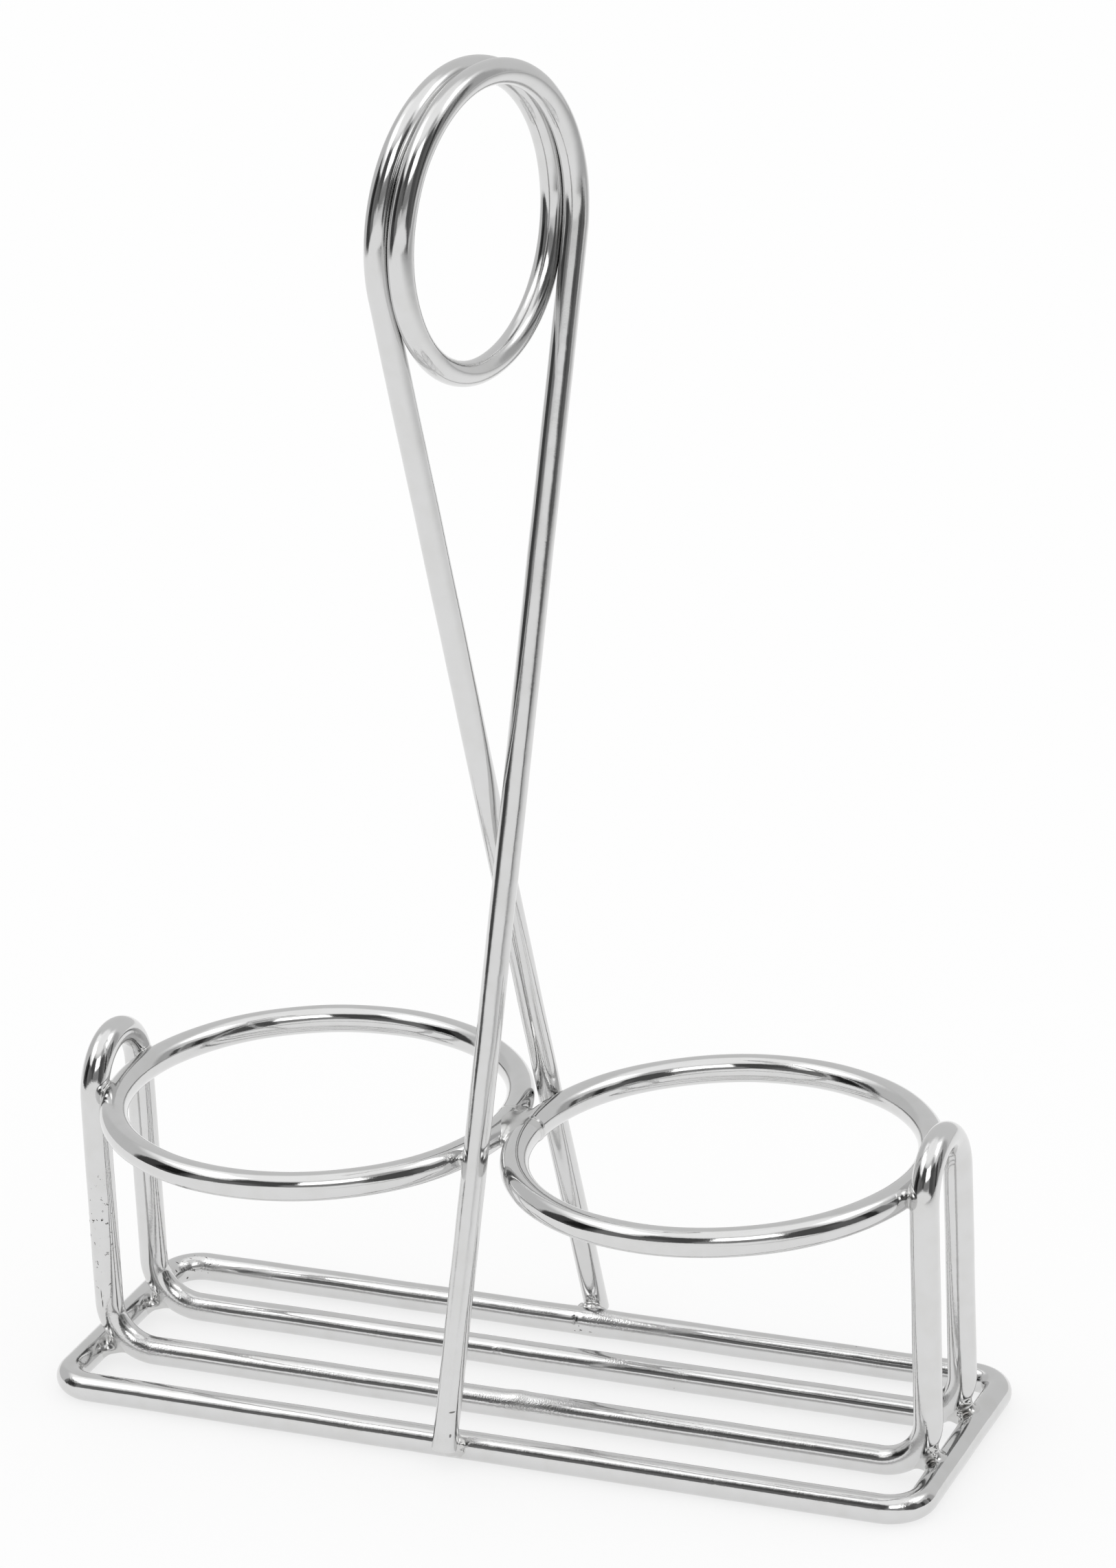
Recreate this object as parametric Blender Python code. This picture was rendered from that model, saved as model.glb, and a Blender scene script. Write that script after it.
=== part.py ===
"""Chrome wire rack for a salt shaker and a pepper shaker, with a looped carrying handle.

Five bent wires make the rack. A base ring lies on the table. A closed saddle wire runs along
inside it as two rails, and turns up at each end into an arch. Two round rings, one for each
shaker, are welded to the arches and to each other. A handle wire starts at a foot on the front
rail, winds once and a half round to a finger loop, and ends at a foot on the rear rail.
X runs along the rack, Y runs to the back and Z is up. The table is at Z = 0.
"""

import math

import bmesh
import bpy
from mathutils import Matrix, Vector

MM = 0.001

# Driving sizes of the wires
FRAME_WIRE_DIAMETER = 4.0 * MM
HANDLE_WIRE_DIAMETER = 3.45 * MM

# Driving sizes of the two rings, whose middle hangs by the drop below the tops of the arches
RING_INNER_DIAMETER = 52.6 * MM
RING_DROP = 8.2 * MM
RING_TO_RING_SET_DOWN = 0.3 * MM
RING_TO_ARCH_SET_DOWN = 0.4 * MM

# Driving sizes of the saddle wire
RAIL_SPACING = 14.6 * MM
RAIL_BEND_RADIUS = 6.6 * MM
RAIL_LIFT = 0.2 * MM
ARCH_TOP_HEIGHT = 49.4 * MM

# Driving sizes of the base ring
BASE_WIDTH = 44.2 * MM
BASE_CORNER_RADIUS = 4.6 * MM

# Driving sizes of the handle
FRONT_FOOT_X = -2.8 * MM
REAR_FOOT_X = 0.7 * MM
FOOT_LIFT = 0.2 * MM
FOOT_OVERRUN = 6.0 * MM
LOOP_INNER_DIAMETER = 36.0 * MM
LOOP_CENTRE_HEIGHT = 169.2 * MM
LOOP_TURN = math.radians(10.0)
LOOP_STRAND_GAP = 0.6 * MM
LEG_PRESS_ANGLE = math.radians(22.5)
LEG_PRESS_START = 6.0 * MM

# Driving sizes of the welds
JOINT_GAP = 0.3 * MM
WELD_LENGTH = 4.8 * MM
WELD_THICKNESS = 3.4 * MM
FOOT_WELD_HEIGHT = 3.2 * MM
CENTRE_WELD_LENGTH = 9.0 * MM
CENTRE_WELD_HEIGHT = 4.6 * MM
CENTRE_WELD_WIDTH = 4.2 * MM
CENTRE_WELD_WEB = 0.5 * MM
BUTT_WELD_LENGTH = 2.4 * MM
BUTT_WELD_SWELL = 0.12 * MM
BASE_BUTT_X = -6.0 * MM
SADDLE_BUTT_X = 3.0 * MM

# How finely the round forms are faceted
WIRE_SIDES = 16
HANDLE_SIDES = 12
CORNER_STEPS = 5
ARCH_STEPS = 12
RING_STEPS = 48
LOOP_STEPS_PER_TURN = 24
LEG_STEPS = 6
MERGE_DISTANCE = 0.001 * MM

# Colours read from the plated surface
CHROME_COLOUR = (0.80, 0.80, 0.79, 1.0)
WELD_COLOUR = (0.72, 0.72, 0.71, 1.0)

# Worked out from the driving sizes
wire_radius = FRAME_WIRE_DIAMETER / 2
handle_radius = HANDLE_WIRE_DIAMETER / 2
facet_share = math.cos(math.pi / WIRE_SIDES)
base_height = wire_radius * facet_share
rail_height = base_height + RAIL_LIFT
rail_offset = RAIL_SPACING / 2
arch_centre_height = ARCH_TOP_HEIGHT - wire_radius - rail_offset
ring_height = ARCH_TOP_HEIGHT - RING_DROP
ring_radius = RING_INNER_DIAMETER / 2 + wire_radius
ring_centre_x = ring_radius + wire_radius - RING_TO_RING_SET_DOWN
base_half_width = BASE_WIDTH / 2 - wire_radius


def arch_leg_offset(height):
    """Distance of an arch leg from the middle plane at a height."""
    above = height - arch_centre_height
    if above <= 0:
        return rail_offset
    return math.sqrt(max(rail_offset ** 2 - above ** 2, 0))


ring_leg_offset = arch_leg_offset(ring_height)
ring_leg_reach = ring_radius + FRAME_WIRE_DIAMETER - RING_TO_ARCH_SET_DOWN
leg_x = ring_centre_x + math.sqrt(ring_leg_reach ** 2 - ring_leg_offset ** 2)
bend_centre_x = leg_x - RAIL_BEND_RADIUS
bend_centre_height = rail_height + RAIL_BEND_RADIUS
bend_reach = RAIL_BEND_RADIUS + FRAME_WIRE_DIAMETER + JOINT_GAP
base_half_length = bend_centre_x + math.sqrt(bend_reach ** 2 - (bend_centre_height - base_height) ** 2)
foot_offset = base_half_width + wire_radius + handle_radius + JOINT_GAP
loop_radius = LOOP_INNER_DIAMETER / 2 + handle_radius
loop_pitch = HANDLE_WIRE_DIAMETER + LOOP_STRAND_GAP


def clear_scene():
    for item in list(bpy.data.objects):
        bpy.data.objects.remove(item, do_unlink=True)


def chrome_material(name, colour, roughness):
    material = bpy.data.materials.new(name)
    material.use_nodes = True
    shader = material.node_tree.nodes["Principled BSDF"]
    shader.inputs["Base Color"].default_value = colour
    shader.inputs["Metallic"].default_value = 1.0
    shader.inputs["Roughness"].default_value = roughness
    material.diffuse_color = colour
    return material


def arc_points(centre, radius, start, end, steps):
    """Flat arc as (x, y) pairs, both ends included, angles in degrees."""
    points = []
    for step in range(steps + 1):
        angle = math.radians(start + (end - start) * step / steps)
        points.append((centre[0] + radius * math.cos(angle), centre[1] + radius * math.sin(angle)))
    return points


def base_path():
    """Rounded rectangle that starts and ends at the butt joint on the rear rail."""
    corner_x = base_half_length - BASE_CORNER_RADIUS
    corner_y = base_half_width - BASE_CORNER_RADIUS
    flat = [(BASE_BUTT_X - BUTT_WELD_LENGTH / 2, base_half_width)]
    for sign_x, sign_y, start in ((-1, 1, 90), (-1, -1, 180), (1, -1, 270), (1, 1, 0)):
        centre = (sign_x * corner_x, sign_y * corner_y)
        flat += arc_points(centre, BASE_CORNER_RADIUS, start, start + 90, CORNER_STEPS)
    flat.append((BASE_BUTT_X + BUTT_WELD_LENGTH / 2, base_half_width))
    return [Vector((x, y, base_height)) for x, y in flat]


def saddle_half(side):
    """Bend, leg and arch at one end, from the front rail over to the rear rail."""
    front_bend = arc_points((bend_centre_x, bend_centre_height), RAIL_BEND_RADIUS, -90, 0, CORNER_STEPS)
    arch = arc_points((0, arch_centre_height), rail_offset, 180, 0, ARCH_STEPS)
    points = [Vector((side * x, -rail_offset, z)) for x, z in front_bend]
    points += [Vector((side * leg_x, y, z)) for y, z in arch]
    points += [Vector((side * x, rail_offset, z)) for x, z in reversed(front_bend)]
    return points


def saddle_path():
    """Closed saddle wire that starts and ends at the butt joint on the front rail."""
    start = Vector((SADDLE_BUTT_X + BUTT_WELD_LENGTH / 2, -rail_offset, rail_height))
    end = Vector((SADDLE_BUTT_X - BUTT_WELD_LENGTH / 2, -rail_offset, rail_height))
    return [start] + saddle_half(1) + list(reversed(saddle_half(-1))) + [end]


def ring_path(side):
    return [Vector((side * ring_centre_x + x, y, ring_height))
            for x, y in arc_points((0, 0), ring_radius, 0, 360, RING_STEPS)[:-1]]


def smooth_step(share):
    share = min(max(share, 0), 1)
    return share * share * (3 - 2 * share)


def loop_point(angle):
    """Point on the wound loop: degrees from the rear side, over the top first."""
    across = Vector((math.sin(LOOP_TURN), math.cos(LOOP_TURN), 0))
    beside = Vector((math.cos(LOOP_TURN), -math.sin(LOOP_TURN), 0))
    turn = math.radians(angle)
    middle = Vector((0, 0, LOOP_CENTRE_HEIGHT))
    round_part = across * math.cos(turn) + Vector((0, 0, 1)) * math.sin(turn)
    return middle + round_part * loop_radius + beside * loop_pitch * (270 - angle) / 360


def foot_point(front):
    if front:
        return Vector((FRONT_FOOT_X, -foot_offset, base_height))
    return Vector((REAR_FOOT_X, foot_offset, base_height))


def tangent_angle(front):
    """Angle on the loop where the straight leg from a foot meets it."""
    across = Vector((math.sin(LOOP_TURN), math.cos(LOOP_TURN), 0))
    foot = foot_point(front)
    level = foot.dot(across)
    drop = base_height - LOOP_CENTRE_HEIGHT
    spread = math.degrees(math.acos(loop_radius / math.hypot(level, drop)))
    bearing = math.degrees(math.atan2(drop, level))
    if front:
        return bearing + spread
    return bearing - spread + 720


def leg_press(front, foot, top):
    """Level push that brings a leg against its ring, along the leg's own lean."""
    share = (ring_height - foot.z) / (top.z - foot.z)
    crossing = foot.lerp(top, share)
    side = -1 if front else 1
    away = Vector((crossing.x - side * ring_centre_x, crossing.y))
    push = Vector((math.sin(LEG_PRESS_ANGLE), -math.cos(LEG_PRESS_ANGLE))) * side
    reach = ring_radius + wire_radius + handle_radius + JOINT_GAP
    along = push.dot(away)
    distance = -along - math.sqrt(max(along ** 2 - away.length_squared + reach ** 2, 0))
    return Vector((push.x * distance, push.y * distance, 0))


def leg_points(front):
    """Leg from below its foot up to the loop, pressed against the ring on its way."""
    foot = foot_point(front)
    top = loop_point(tangent_angle(front))
    press = leg_press(front, foot, top)
    below = foot + (foot - top).normalized() * FOOT_OVERRUN
    heights = [LEG_PRESS_START + (ring_height - LEG_PRESS_START) * step / LEG_STEPS for step in range(LEG_STEPS)]
    heights += [ring_height + (top.z - ring_height) * step / (2 * LEG_STEPS) for step in range(2 * LEG_STEPS)]
    points = [below]
    for height in heights:
        straight = foot.lerp(top, (height - foot.z) / (top.z - foot.z))
        if height < ring_height:
            share = smooth_step((height - LEG_PRESS_START) / (ring_height - LEG_PRESS_START))
        else:
            share = 1 - smooth_step((height - ring_height) / (top.z - ring_height))
        points.append(straight + press * share)
    return points


def handle_path():
    """Front leg, one and a half turns of loop, and the rear leg, as one unbroken wire."""
    first = tangent_angle(True)
    last = tangent_angle(False)
    steps = round((last - first) * LOOP_STEPS_PER_TURN / 360)
    loop = [loop_point(first + (last - first) * step / steps) for step in range(steps + 1)]
    return leg_points(True) + loop + list(reversed(leg_points(False)))


def least_gap(points, diameter):
    """Smallest clear distance of a wire to itself, between places well apart along it."""
    fine = []
    for start, end in zip(points, points[1:]):
        fine += [start.lerp(end, part / 8) for part in range(8)]
    travelled = [0.0]
    for start, end in zip(fine, fine[1:]):
        travelled.append(travelled[-1] + (end - start).length)
    least = None
    for first, point in enumerate(fine):
        for second in range(first + 1, len(fine)):
            if travelled[second] - travelled[first] > 4 * diameter:
                distance = (fine[second] - point).length - diameter
                least = distance if least is None else min(least, distance)
    return least


def tube_mesh(name, points, radius, sides, closed):
    """Round wire swept along points, with flats facing up and down where it lies level."""
    curve = bpy.data.curves.new(name, "CURVE")
    curve.dimensions = "3D"
    curve.twist_mode = "MINIMUM"
    curve.bevel_depth = radius
    curve.bevel_resolution = sides // 2 - 2
    curve.use_fill_caps = not closed
    spline = curve.splines.new("POLY")
    spline.points.add(len(points) - 1)
    for control, point in zip(spline.points, points):
        control.co = (*point, 1)
        control.tilt = math.pi / sides
    spline.use_cyclic_u = closed
    guide = bpy.data.objects.new(name + "_guide", curve)
    bpy.context.scene.collection.objects.link(guide)
    bpy.context.view_layer.update()
    evaluated = guide.evaluated_get(bpy.context.evaluated_depsgraph_get())
    mesh = bpy.data.meshes.new_from_object(evaluated)
    bpy.data.objects.remove(guide, do_unlink=True)
    shape = bmesh.new()
    shape.from_mesh(mesh)
    bmesh.ops.remove_doubles(shape, verts=shape.verts, dist=MERGE_DISTANCE)
    bmesh.ops.recalc_face_normals(shape, faces=shape.faces)
    shape.to_mesh(mesh)
    shape.free()
    mesh.name = name
    return mesh


def add_object(name, mesh, material, rack):
    mesh.shade_smooth()
    mesh.set_sharp_from_angle(angle=math.radians(40))
    mesh.materials.clear()
    mesh.materials.append(material)
    item = bpy.data.objects.new(name, mesh)
    bpy.context.scene.collection.objects.link(item)
    item.parent = rack
    return item


def add_cutter(name, mesh):
    item = bpy.data.objects.new(name, mesh)
    bpy.context.scene.collection.objects.link(item)
    item.hide_render = True
    item.display_type = "WIRE"
    return item


def box_cutter(name, low, high):
    mesh = bpy.data.meshes.new(name)
    shape = bmesh.new()
    bmesh.ops.create_cube(shape, size=1)
    bmesh.ops.scale(shape, vec=high - low, verts=shape.verts)
    bmesh.ops.translate(shape, vec=(low + high) / 2, verts=shape.verts)
    shape.to_mesh(mesh)
    shape.free()
    return add_cutter(name, mesh)


def cut(item, cutter):
    modifier = item.modifiers.new("cut by " + cutter.name, "BOOLEAN")
    modifier.operation = "DIFFERENCE"
    modifier.solver = "EXACT"
    modifier.object = cutter


def bead_mesh(name, centre, along, normal, length, height, thickness):
    """Lens of weld metal: length runs along, thickness runs along the normal."""
    mesh = bpy.data.meshes.new(name)
    shape = bmesh.new()
    bmesh.ops.create_icosphere(shape, subdivisions=3, radius=1)
    side = normal.cross(along).normalized()
    turn = Matrix((along.normalized(), side, normal.normalized())).transposed().to_4x4()
    size = Matrix.Diagonal((length / 2, height / 2, thickness / 2, 1))
    bmesh.ops.transform(shape, matrix=Matrix.Translation(centre) @ turn @ size, verts=shape.verts)
    shape.to_mesh(mesh)
    shape.free()
    return mesh


def butt_weld_mesh(name, x, y, z):
    """Short swollen barrel between the two cut ends of a wire that runs along X."""
    mesh = bpy.data.meshes.new(name)
    shape = bmesh.new()
    half = BUTT_WELD_LENGTH / 2 - JOINT_GAP
    bmesh.ops.create_cone(shape, cap_ends=True, segments=WIRE_SIDES, radius1=wire_radius,
                          radius2=wire_radius, depth=2 * half)
    long_edges = [edge for edge in shape.edges if abs(edge.verts[0].co.z - edge.verts[1].co.z) > half]
    middle = bmesh.ops.subdivide_edges(shape, edges=long_edges, cuts=1)["geom_inner"]
    middle_verts = [item for item in middle if isinstance(item, bmesh.types.BMVert)]
    swell = (wire_radius + BUTT_WELD_SWELL) / wire_radius
    bmesh.ops.scale(shape, vec=(swell, swell, 1), verts=middle_verts)
    flat_turn = Matrix.Rotation(math.pi / WIRE_SIDES, 4, "Z")
    lay_down = Matrix.Rotation(math.pi / 2, 4, "Y")
    bmesh.ops.transform(shape, matrix=Matrix.Translation((x, y, z)) @ lay_down @ flat_turn, verts=shape.verts)
    shape.to_mesh(mesh)
    shape.free()
    return mesh


def build_wires(chrome, rack):
    """The five wires, each one bent from a single length."""
    base = tube_mesh("base_ring", base_path(), wire_radius, WIRE_SIDES, False)
    saddle = tube_mesh("saddle_wire", saddle_path(), wire_radius, WIRE_SIDES, False)
    handle = tube_mesh("handle_wire", handle_path(), handle_radius, HANDLE_SIDES, False)
    wires = {
        "base": add_object("base_ring", base, chrome, rack),
        "saddle": add_object("saddle_wire", saddle, chrome, rack),
        "handle": add_object("handle_wire", handle, chrome, rack),
    }
    for side, name in ((-1, "left"), (1, "right")):
        ring = tube_mesh(name + "_ring", ring_path(side), wire_radius, WIRE_SIDES, True)
        wires[name] = add_object(name + "_ring", ring, chrome, rack)
    return wires


def build_cutters():
    """Each wire fattened by the joint gap, and the flats that pressing leaves on the rings."""
    fat = wire_radius + JOINT_GAP
    cutters = {
        "base": tube_mesh("base_space", base_path(), fat, WIRE_SIDES, False),
        "saddle": tube_mesh("saddle_space", saddle_path(), fat, WIRE_SIDES, False),
        "handle": tube_mesh("handle_space", handle_path(), handle_radius + JOINT_GAP, HANDLE_SIDES, False),
        "left": tube_mesh("left_ring_space", ring_path(-1), fat, WIRE_SIDES, True),
        "right": tube_mesh("right_ring_space", ring_path(1), fat, WIRE_SIDES, True),
    }
    for side, name in ((-1, "left"), (1, "right")):
        cutters[name + "_end"] = tube_mesh(name + "_ring_end_space", ring_path(side), fat, WIRE_SIDES, True)
    cutters = {key: add_cutter(mesh.name, mesh) for key, mesh in cutters.items()}
    reach = Vector((FRAME_WIRE_DIAMETER, ring_radius, FRAME_WIRE_DIAMETER))
    half_web = CENTRE_WELD_WEB / 2
    for side, name in ((-1, "left"), (1, "right")):
        for kind, inset in (("flat", half_web + JOINT_GAP), ("web", half_web)):
            middle = Vector((side * (inset - reach.x), 0, ring_height))
            cutters[name + "_" + kind] = box_cutter(f"{name}_ring_{kind}", middle - reach, middle + reach)
        cut(cutters[name + "_end"], cutters[name + "_web"])
    floor_reach = Vector((ring_radius, BASE_WIDTH, FOOT_OVERRUN + FRAME_WIRE_DIAMETER))
    cutters["floor"] = box_cutter("foot_level", -floor_reach, Vector((floor_reach.x, floor_reach.y, FOOT_LIFT)))
    return cutters


def build_saddle_welds(cutters, weld, rack):
    """Four beads where the bends of the saddle sit on the inside of the base ring."""
    normal = Vector((bend_centre_x - base_half_length, 0, bend_centre_height - base_height)).normalized()
    spot = Vector((base_half_length, 0, base_height)) + normal * (wire_radius + JOINT_GAP / 2)
    for side, end in ((-1, "left"), (1, "right")):
        for depth, place in ((-1, "front"), (1, "rear")):
            name = f"saddle_weld_{end}_{place}"
            centre = Vector((side * spot.x, depth * rail_offset, spot.z))
            facing = Vector((side * normal.x, 0, normal.z))
            mesh = bead_mesh(name, centre, Vector((0, 1, 0)), facing, WELD_LENGTH, WELD_LENGTH, WELD_THICKNESS)
            item = add_object(name, mesh, weld, rack)
            cut(item, cutters["base"])
            cut(item, cutters["saddle"])


def build_ring_welds(wires, cutters, weld, rack):
    """Four beads where the rings sit against the arch legs, and one between the rings."""
    for side, end in ((-1, "left"), (1, "right")):
        cut(wires[end], cutters["saddle"])
        cut(wires[end], cutters[end + "_flat"])
        for depth, place in ((-1, "front"), (1, "rear")):
            name = f"ring_weld_{end}_{place}"
            out = Vector((leg_x - ring_centre_x, ring_leg_offset, 0)).normalized()
            facing = Vector((side * out.x, depth * out.y, 0))
            centre = Vector((side * ring_centre_x, 0, ring_height)) + facing * (ring_radius + wire_radius)
            mesh = bead_mesh(name, centre, Vector((0, 0, 1)), facing, WELD_LENGTH, WELD_LENGTH, WELD_THICKNESS)
            item = add_object(name, mesh, weld, rack)
            cut(item, cutters["saddle"])
            cut(item, cutters[end])
    centre = Vector((0, 0, ring_height))
    mesh = bead_mesh("centre_ring_weld", centre, Vector((0, 1, 0)), Vector((1, 0, 0)),
                     CENTRE_WELD_LENGTH, CENTRE_WELD_HEIGHT, CENTRE_WELD_WIDTH)
    item = add_object("centre_ring_weld", mesh, weld, rack)
    cut(item, cutters["left_end"])
    cut(item, cutters["right_end"])


def build_handle_welds(wires, cutters, weld, rack):
    """Beads at the two feet and where each leg is pressed against a ring."""
    cut(wires["handle"], cutters["floor"])
    for front, place, end in ((True, "front", "left"), (False, "rear", "right")):
        depth = -1 if front else 1
        foot = foot_point(front)
        centre = Vector((foot.x, depth * (base_half_width + wire_radius + JOINT_GAP / 2), base_height))
        name = place + "_foot_weld"
        mesh = bead_mesh(name, centre, Vector((1, 0, 0)), Vector((0, depth, 0)),
                         WELD_LENGTH, FOOT_WELD_HEIGHT, WELD_THICKNESS)
        item = add_object(name, mesh, weld, rack)
        cut(item, cutters["base"])
        cut(item, cutters["handle"])
        top = loop_point(tangent_angle(front))
        level = foot.lerp(top, (ring_height - foot.z) / (top.z - foot.z)) + leg_press(front, foot, top)
        hub = Vector((depth * ring_centre_x, 0, ring_height))
        facing = (level - hub).normalized()
        name = place + "_leg_weld"
        centre = hub + facing * (ring_radius + wire_radius + JOINT_GAP / 2)
        mesh = bead_mesh(name, centre, Vector((0, 0, 1)), facing, WELD_LENGTH, WELD_LENGTH, WELD_THICKNESS)
        item = add_object(name, mesh, weld, rack)
        cut(item, cutters[end])
        cut(item, cutters["handle"])


def build_butt_welds(weld, rack):
    """Swollen joints where the base ring and the saddle wire were closed end to end."""
    base = butt_weld_mesh("base_butt_weld", BASE_BUTT_X, base_half_width, base_height)
    add_object("base_butt_weld", base, weld, rack)
    saddle = butt_weld_mesh("saddle_butt_weld", SADDLE_BUTT_X, -rail_offset, rail_height)
    add_object("saddle_butt_weld", saddle, weld, rack)


def main():
    clear_scene()
    rack = bpy.data.objects.new("rack", None)
    bpy.context.scene.collection.objects.link(rack)
    chrome = chrome_material("chrome_plate", CHROME_COLOUR, 0.08)
    weld = chrome_material("plated_weld", WELD_COLOUR, 0.22)
    wires = build_wires(chrome, rack)
    cutters = build_cutters()
    build_saddle_welds(cutters, weld, rack)
    build_ring_welds(wires, cutters, weld, rack)
    build_handle_welds(wires, cutters, weld, rack)
    build_butt_welds(weld, rack)
    print("base length mm", round(2 * (base_half_length + wire_radius) / MM, 2))
    print("handle gap to itself mm", round(least_gap(handle_path(), HANDLE_WIRE_DIAMETER) / MM, 3))


main()
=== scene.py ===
import math

import bmesh
import bpy
from mathutils import Matrix, Vector, noise
from mathutils.kdtree import KDTree


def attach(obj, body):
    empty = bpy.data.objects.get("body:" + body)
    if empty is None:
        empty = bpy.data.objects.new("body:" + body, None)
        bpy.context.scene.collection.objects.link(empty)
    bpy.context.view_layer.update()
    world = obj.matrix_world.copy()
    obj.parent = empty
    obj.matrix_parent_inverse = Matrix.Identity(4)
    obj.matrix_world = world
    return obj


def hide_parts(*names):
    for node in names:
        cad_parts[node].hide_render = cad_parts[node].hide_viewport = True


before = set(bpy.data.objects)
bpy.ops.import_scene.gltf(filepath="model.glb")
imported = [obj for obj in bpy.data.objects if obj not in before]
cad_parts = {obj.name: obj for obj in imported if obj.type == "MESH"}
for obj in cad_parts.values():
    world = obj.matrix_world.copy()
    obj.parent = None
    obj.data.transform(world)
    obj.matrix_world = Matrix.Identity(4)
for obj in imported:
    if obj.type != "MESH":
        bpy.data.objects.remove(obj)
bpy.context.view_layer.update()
mm = 0.001
print("Frame loaded")

# The photograph's view: where the camera stands and how it is turned, found from the edges of the wires
camera = {
    "place": (291.391, -678.942, 377.123),
    "right": (0.92740825, 0.37208462, -0.03830108),
    "up": (-0.10134062, 0.34850552, 0.9318122),
    "back": (0.36006113, -0.86028887, 0.36091418),
    "lens": 190.95,
    "sensor": 36.0,
    "shift": (0.00446, -0.0009),
    "clipStart": 0.01,
}

# How far the line of a bent wire wanders, and over what length, in millimetres
wander = {"amount": 0.05, "length": 9.0, "seed": 4}

# Round wire, in millimetres: radius, sides, steps along it, and closer steps near a butt joint or a seam
frameWire = {"radius": 1.99, "sides": 48, "runStep": 0.6, "bendStep": 0.6,
             "jointReach": 4.0, "jointParts": 5, "seamSteps": 3, "seamParts": 5}
handleWire = {"radius": 1.72, "sides": 44, "runStep": 0.8, "turnStep": 0.6,
              "endRounding": 0.3, "endSegments": 4}
mergeWithin = 0.001

baseRing = {"halfLength": 63.0, "halfWidth": 20.09, "height": 2.0, "cornerRadius": 4.6}

saddle = {
    "railFront": -7.28,
    "railRear": 7.34,
    "railHeight": 2.19,
    "bendRadius": 6.9,
    "legX": 60.98,
    "archX": 60.93,
    "archRadius": 7.1,
    "archMiddle": -0.25,
    "archHeight": 40.27,
}

# Seam: where on the ring its two ends were butted (degrees), how far the end before it sits off
# (outward, up), and over how many degrees that runs out
rings = {
    "left": {"centre": (-30.1, -0.09, 41.12), "radius": 28.27, "tilt": 0.1,
             "seam": {"angle": 3.2, "off": (0.1, 0.22), "fade": 9.0}},
    "right": {"centre": (29.9, -0.03, 41.21), "radius": 28.3, "tilt": 1.03,
              "seam": {"angle": 180.0, "off": (-0.32, 0.12), "fade": 11.0}},
}

# Swellings and nicks where the ends of a wire were butted: middle, half sizes, height
lumps = {
    "base": [((1.9, 19.6, 2.4), (2.8, 3.6, 3.2), 0.13), ((-0.45, 18.3, 2.7), (0.3, 0.8, 0.8), -0.09),
             ((0.4, 18.6, 3.1), (0.6, 0.9, 0.9), 0.04)],
    "saddle": [((1.4, -7.4, 4.2), (1.3, 1.5, 1.1), 0.17), ((4.6, -7.9, 4.1), (3.2, 1.6, 1.2), 0.1)],
    "left": [((-1.87, 1.49, 41.1), (6.0, 0.3, 6.0), 0.07)],
}

handle = {
    "frontFoot": (-2.8, -24.0),
    "rearFoot": (0.7, 24.0),
    "frontBottom": 2.9,
    "rearBottom": 2.2,
    "loopHeight": 169.2,
    "loopRadius": 19.68,
    "loopTurn": 10.0,
    "climb": 3.6,
    "frontPress": 0.1,
    "rearPress": 2.3,
    "pressAngle": 22.5,
    "pressHeight": 41.2,
    "bowFrom": 4,
}


def arcPoints(centre, across, rise, radius, start, end, step):
    # Round bend in the plane of two directions, with both ends, angles in degrees
    count = max(2, math.ceil(abs(math.radians(end - start)) * radius / step))
    points = []
    for index in range(count + 1):
        angle = math.radians(start + (end - start) * index / count)
        points.append(centre + across * (radius * math.cos(angle)) + rise * (radius * math.sin(angle)))
    return points


def wandered(points):
    # No bent wire is quite straight or round
    return [point + noise.noise_vector(point / wander["length"]) * wander["amount"] for point in points]


def fillRuns(points, step, closed):
    filled = []
    pairs = list(zip(points, points[1:] + points[:1] if closed else points[1:]))
    for start, end in pairs:
        count = max(1, round((end - start).length / step))
        filled += [start.lerp(end, index / count) for index in range(count)]
    if not closed:
        filled.append(points[-1])
    return filled


def refined(points, spot):
    # Closer stations near the butt joint of a long wire
    fine = []
    for start, end in zip(points, points[1:] + points[:1]):
        count = frameWire["jointParts"] if (start - spot).length < frameWire["jointReach"] else 1
        fine += [start.lerp(end, index / count) for index in range(count)]
    return fine


def lumpHeight(spots, place):
    height = 0
    for middle, halfSizes, rise in spots:
        away = place - Vector(middle)
        height += rise * math.exp(-sum((part / half) ** 2 for part, half in zip(away, halfSizes)))
    return height


def drawWire(shape, points, radius, sides, closed, spots=()):
    # A grid is rolled up round the stations of the wire
    count = len(points)
    headings = []
    for index in range(count):
        before = points[index - 1] if closed or index else points[0]
        after = points[(index + 1) % count] if closed or index < count - 1 else points[-1]
        headings.append((after - before).normalized())
    side = headings[0].orthogonal().normalized()
    stations = []
    for point, heading in zip(points, headings):
        side = (side - heading * side.dot(heading)).normalized()
        turn = Matrix((side, heading.cross(side), heading)).transposed().to_4x4()
        stations.append(Matrix.Translation(point) @ turn)
    grid = bmesh.ops.create_grid(shape, x_segments=count - 1, y_segments=sides, size=0.5)["verts"]
    for vert in grid:
        angle = math.tau * (vert.co.y + 0.5)
        station = stations[round((vert.co.x + 0.5) * (count - 1))]
        outward = Vector((math.cos(angle), math.sin(angle), 0))
        vert.co = station @ (outward * (radius + lumpHeight(spots, station @ (outward * radius))))
    bmesh.ops.remove_doubles(shape, verts=grid, dist=mergeWithin)
    rims = [edge for edge in shape.edges if edge.is_boundary]
    if closed:
        bmesh.ops.bridge_loops(shape, edges=rims)
    else:
        bmesh.ops.holes_fill(shape, edges=rims, sides=sides)
    return rims


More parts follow.
